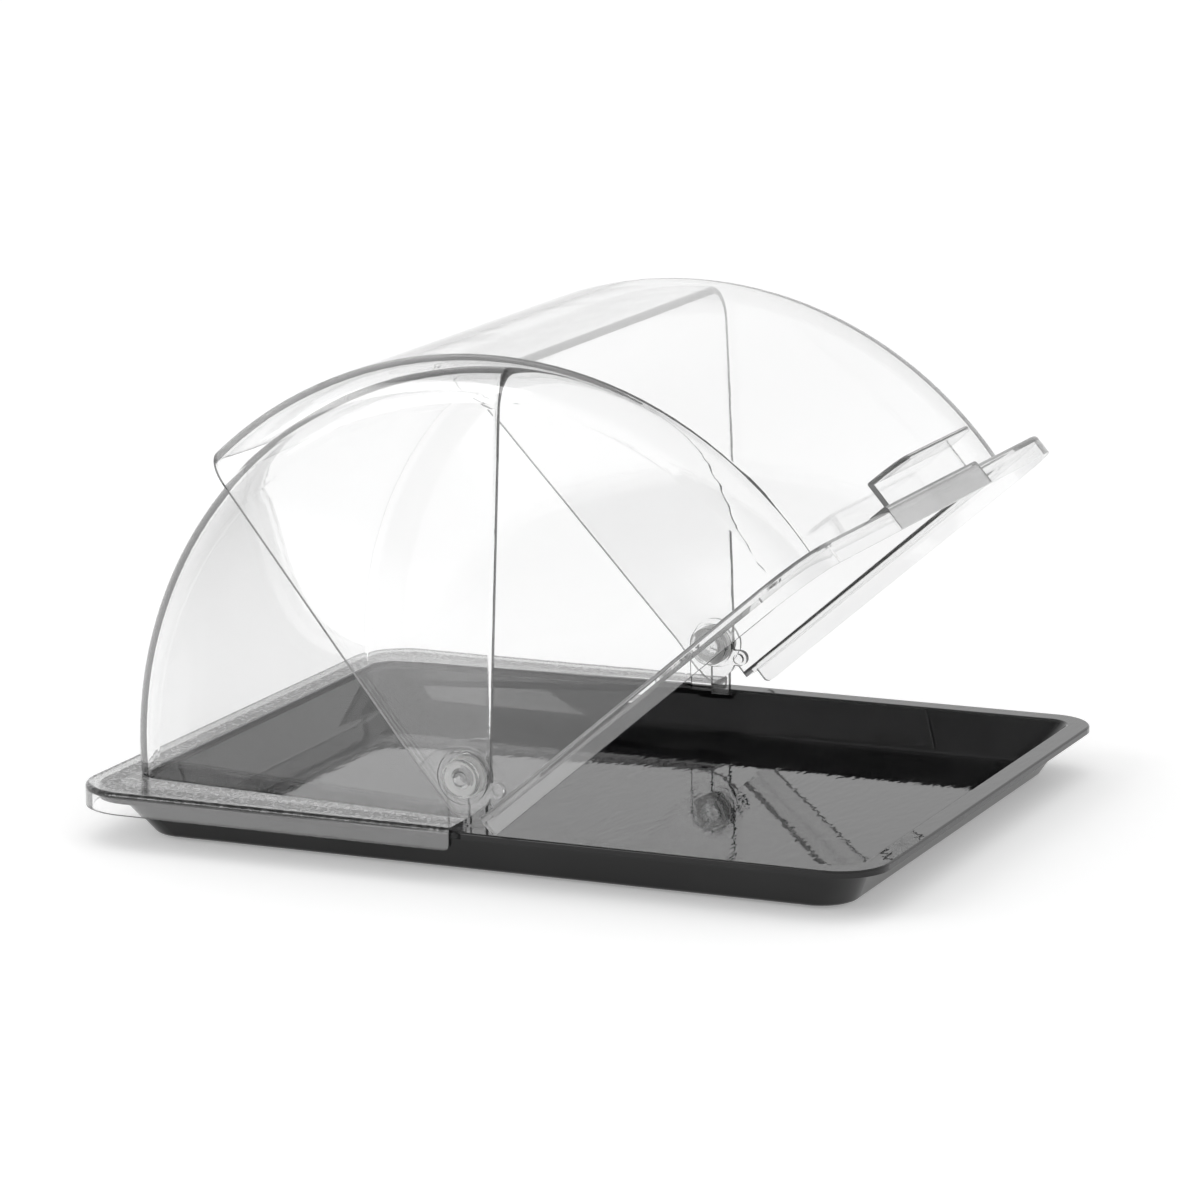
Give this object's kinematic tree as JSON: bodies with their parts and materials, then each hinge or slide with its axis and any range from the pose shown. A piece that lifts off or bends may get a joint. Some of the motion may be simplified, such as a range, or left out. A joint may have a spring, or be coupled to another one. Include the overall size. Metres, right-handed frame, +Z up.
{
  "type": "roll-top display tray",
  "caption": "Shallow gloss-black display tray under a clear roll-top cover: a fixed rear half and a front half, with a lip to lift it by, that turns back over the rear half on side pivots.",
  "frame": {"origin": "middle of the tray's underside", "axes": "+Z up, the opening faces -Y, and the pivot axis runs along X"},
  "size_m": [0.2756, 0.3303, 0.1957],
  "materials": {
    "tray_black": "high gloss black",
    "rear_clear": "clear and polished, with a stippled flange",
    "front_clear": "clear and polished",
    "handle_clear": "clear and polished",
    "pin_clear": "clear and polished",
    "washer_clear": "translucent",
    "cap_clear": "clear and polished"
  },
  "bodies": {
    "base": {"tray": "tray_black", "rear_cover": "rear_clear", "pivot_pin_left": "pin_clear", "pivot_pin_right": "pin_clear", "pivot_washer_left": "washer_clear", "pivot_washer_right": "washer_clear", "pivot_cap_left": "cap_clear", "pivot_cap_right": "cap_clear"},
    "front": {"front_cover": "front_clear", "handle": "handle_clear"}
  },
  "joints": [
    {"name": "front_roll", "type": "hinge", "parent": "base", "child": "front", "pos_m": [0, 0.003, 0.0395], "axis": [-1, 0, 0], "range_deg": [-40.6, 47.4]}
  ]
}
